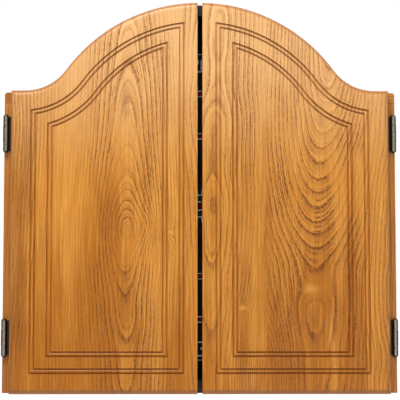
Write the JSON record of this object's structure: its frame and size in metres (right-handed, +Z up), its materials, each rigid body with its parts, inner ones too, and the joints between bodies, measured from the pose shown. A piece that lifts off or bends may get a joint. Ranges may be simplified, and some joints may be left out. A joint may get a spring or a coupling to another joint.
{
  "type": "dart board cabinet",
  "caption": "Arched wooden wall cabinet with two grooved doors that swing open on butt hinges, holding a round bristle dart board, scoreboards and dart racks.",
  "frame": {"origin": "on the wall plane, at the cabinet's back face, straight behind the bull's-eye", "axes": "+X to the right seen from the front, +Y into the wall, +Z up; the doors face -Y"},
  "size_m": [0.571, 0.1005, 0.5663],
  "materials": {
    "stained_oak": "satin lacquer over golden stain",
    "stained_box_wood": "satin lacquer over golden stain",
    "black_board": "matt black paint",
    "dark_pewter": "antique pewter plate",
    "zinc_steel": "zinc plate",
    "screw_steel": "zinc plate",
    "bright_wire": "bright galvanised wire",
    "dyed_sisal": "compressed dyed fibre",
    "chipboard": "raw chipboard",
    "nylon": "moulded",
    "score_surface": "matt writing surface on hardboard",
    "trim_oak": "satin lacquer over golden stain",
    "catch_plastic": "moulded",
    "magnet": "ferrite",
    "bumper_rubber": "moulded"
  },
  "bodies": {
    "cabinet_box": {"left_side": "stained_box_wood", "right_side": "stained_box_wood", "bottom_board": "stained_box_wood", "arched_top": "stained_box_wood", "back_panel": "black_board", "left_upper_box_leaf": "dark_pewter", "left_lower_box_leaf": "dark_pewter", "right_upper_box_leaf": "dark_pewter", "right_lower_box_leaf": "dark_pewter", "left_upper_hinge_pin": "dark_pewter", "left_lower_hinge_pin": "dark_pewter", "right_upper_hinge_pin": "dark_pewter", "right_lower_hinge_pin": "dark_pewter", "box_leaf_screws": "dark_pewter", "board_bracket": "zinc_steel", "bracket_screws": "screw_steel", "catch_screws": "screw_steel", "left_catch_housing": "catch_plastic", "right_catch_housing": "catch_plastic", "left_catch_magnet": "magnet", "right_catch_magnet": "magnet"},
    "left_door_set": {"left_door": "stained_oak", "left_upper_door_leaf": "dark_pewter", "left_lower_door_leaf": "dark_pewter", "left_door_leaf_screws": "dark_pewter", "left_scoreboard": "score_surface", "left_score_frame": "trim_oak", "left_score_screws": "screw_steel", "left_dart_rack": "trim_oak", "left_rack_screws": "screw_steel", "left_strike_plate": "zinc_steel", "left_strike_screw": "screw_steel", "left_door_bumpers": "bumper_rubber"},
    "right_door_set": {"right_door": "stained_oak", "right_upper_door_leaf": "dark_pewter", "right_lower_door_leaf": "dark_pewter", "right_door_leaf_screws": "dark_pewter", "right_scoreboard": "score_surface", "right_score_frame": "trim_oak", "right_score_screws": "screw_steel", "right_dart_rack": "trim_oak", "right_rack_screws": "screw_steel", "right_strike_plate": "zinc_steel", "right_strike_screw": "screw_steel", "right_door_bumpers": "bumper_rubber"},
    "dart_board": {"backing_disc": "chipboard", "sisal_disc": "dyed_sisal", "steel_band": "zinc_steel", "board_centre_screw": "zinc_steel", "standoff_pads": "nylon", "wire_spider": "bright_wire", "bull_wire_ring": "bright_wire", "ring_clips": "bright_wire"},
    "number_ring_set": {"number_ring": "bright_wire"}
  },
  "joints": [
    {"name": "left_door_swing", "type": "hinge", "parent": "cabinet_box", "child": "left_door_set", "pos_m": [-0.2812, -0.0846, 0], "axis": [0, 0, -1], "range_deg": [0, 180]},
    {"name": "right_door_swing", "type": "hinge", "parent": "cabinet_box", "child": "right_door_set", "pos_m": [0.2812, -0.0846, 0], "axis": [0, 0, 1], "range_deg": [0, 180]},
    {"name": "dart_board_turn", "type": "hinge", "parent": "cabinet_box", "child": "dart_board", "pos_m": [0, -0.054, 0], "axis": [0, 1, 0], "continuous": true},
    {"name": "number_ring_turn", "type": "hinge", "parent": "dart_board", "child": "number_ring_set", "pos_m": [0, -0.055, 0], "axis": [0, 1, 0], "continuous": true}
  ]
}
